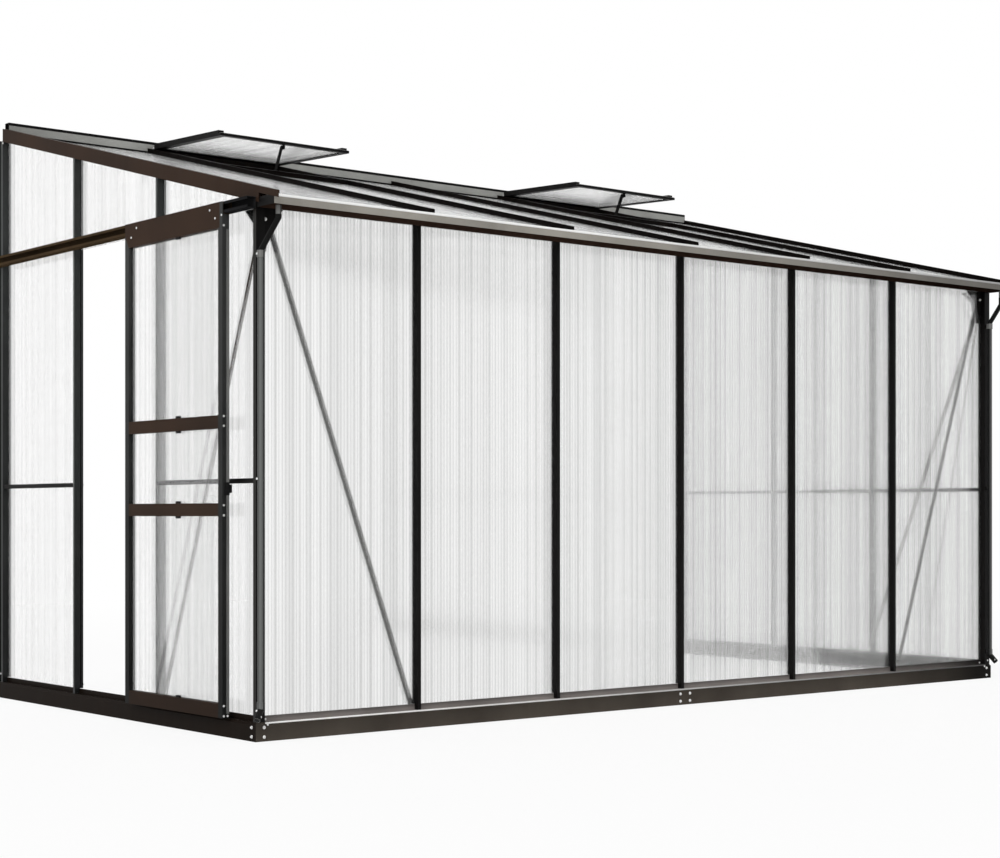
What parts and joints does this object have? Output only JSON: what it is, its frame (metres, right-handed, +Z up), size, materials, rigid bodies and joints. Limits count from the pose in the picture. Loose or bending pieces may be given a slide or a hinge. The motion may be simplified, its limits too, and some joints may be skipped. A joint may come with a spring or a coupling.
{
  "type": "lean-to greenhouse",
  "caption": "Lean-to greenhouse for a house wall: dark aluminium frame, clear twin-wall sheets, sliding end door, opening roof vents, gutter and downpipes.",
  "frame": {"origin": "middle of the footprint on the ground, under the bounding box centre", "axes": "+X along the front wall to the right, +Y towards the house wall, +Z up"},
  "size_m": [3.7491, 2.008, 2.2259],
  "materials": {
    "charcoal_frame": "satin",
    "brown_frame": "satin",
    "grey_eave_trim": "satin",
    "twin_wall_sheet": "gloss",
    "nylon_roller": "matte",
    "black_pipe": "satin"
  },
  "bodies": {
    "greenhouse": {"base_front": "brown_frame", "base_left": "charcoal_frame", "base_right": "charcoal_frame", "corner_brace_left": "charcoal_frame", "corner_brace_right": "charcoal_frame", "corner_post_left": "charcoal_frame", "corner_post_right": "charcoal_frame", "door_track": "charcoal_frame", "downpipe_left": "black_pipe", "downpipe_right": "black_pipe", "eave_gutter": "grey_eave_trim", "front_mullion_1": "charcoal_frame", "front_mullion_2": "charcoal_frame", "front_mullion_3": "charcoal_frame", "front_mullion_4": "charcoal_frame", "front_mullion_5": "charcoal_frame", "front_panel_1": "twin_wall_sheet", "front_panel_2": "twin_wall_sheet", "front_panel_3": "twin_wall_sheet", "front_panel_4": "twin_wall_sheet", "front_panel_5": "twin_wall_sheet", "front_panel_6": "twin_wall_sheet", "left_panel_front": "twin_wall_sheet", "left_panel_over_door": "twin_wall_sheet", "left_panel_rear": "twin_wall_sheet", "left_stud_1": "charcoal_frame", "left_stud_2": "charcoal_frame", "ridge_plate": "grey_eave_trim", "right_panel_front": "twin_wall_sheet", "right_panel_middle": "twin_wall_sheet", "right_panel_rear": "twin_wall_sheet", "right_stud_1": "charcoal_frame", "right_stud_2": "charcoal_frame", "roof_bar_1": "charcoal_frame", "roof_bar_2": "charcoal_frame", "roof_bar_3": "charcoal_frame", "roof_bar_4": "charcoal_frame", "roof_bar_5": "charcoal_frame", "roof_panel_1": "twin_wall_sheet", "roof_panel_2": "twin_wall_sheet", "roof_panel_3": "twin_wall_sheet", "roof_panel_4": "twin_wall_sheet", "roof_panel_5": "twin_wall_sheet", "roof_panel_6": "twin_wall_sheet", "vent_curb_1": "charcoal_frame", "vent_curb_2": "charcoal_frame", "verge_bar_left": "brown_frame", "verge_bar_right": "brown_frame", "wall_post_left": "charcoal_frame", "wall_post_right": "charcoal_frame"},
    "door": {"door_frame": "brown_frame", "door_panel": "twin_wall_sheet"},
    "front_roller": {"door_roller_1": "nylon_roller"},
    "rear_roller": {"door_roller_2": "nylon_roller"},
    "vent_1": {"vent_frame_1": "charcoal_frame", "vent_panel_1": "twin_wall_sheet"},
    "vent_2": {"vent_frame_2": "charcoal_frame", "vent_panel_2": "twin_wall_sheet"},
    "stay_1": {"vent_stay_1": "charcoal_frame"},
    "stay_2": {"vent_stay_2": "charcoal_frame"}
  },
  "joints": [
    {"name": "door_slide", "type": "slide", "parent": "greenhouse", "child": "door", "axis": [0, 1, 0], "range_m": [-0.13, 0.4755]},
    {"name": "front_roller_spin", "type": "hinge", "parent": "door", "child": "front_roller", "pos_m": [-1.8725, -0.657, 1.6768], "axis": [1, 0, 0], "range_deg": [-2380, 660]},
    {"name": "rear_roller_spin", "type": "hinge", "parent": "door", "child": "rear_roller", "pos_m": [-1.8725, -0.171, 1.6768], "axis": [1, 0, 0], "range_deg": [-2380, 660]},
    {"name": "vent_1_hinge", "type": "hinge", "parent": "greenhouse", "child": "vent_1", "pos_m": [-0.915, 0.939, 2.19449], "axis": [-1, 0, 0], "range_deg": [-11.6, 20]},
    {"name": "stay_1_pivot", "type": "hinge", "parent": "vent_1", "child": "stay_1", "pos_m": [-0.915, 0.45104, 2.16012], "axis": [-1, 0, 0], "range_deg": [-21, 12.6]},
    {"name": "vent_2_hinge", "type": "hinge", "parent": "greenhouse", "child": "vent_2", "pos_m": [0.915, 0.939, 2.19449], "axis": [-1, 0, 0], "range_deg": [-11.6, 20]},
    {"name": "stay_2_pivot", "type": "hinge", "parent": "vent_2", "child": "stay_2", "pos_m": [0.915, 0.45104, 2.16012], "axis": [-1, 0, 0], "range_deg": [-21, 12.6]}
  ],
  "couplings": [
    {"joint": "front_roller_spin", "follows": "door_slide", "rad_per_m": -86.957},
    {"joint": "rear_roller_spin", "follows": "door_slide", "rad_per_m": -86.957},
    {"joint": "stay_1_pivot", "follows": "vent_1_hinge", "ratio": -1},
    {"joint": "stay_2_pivot", "follows": "vent_2_hinge", "ratio": -1}
  ]
}
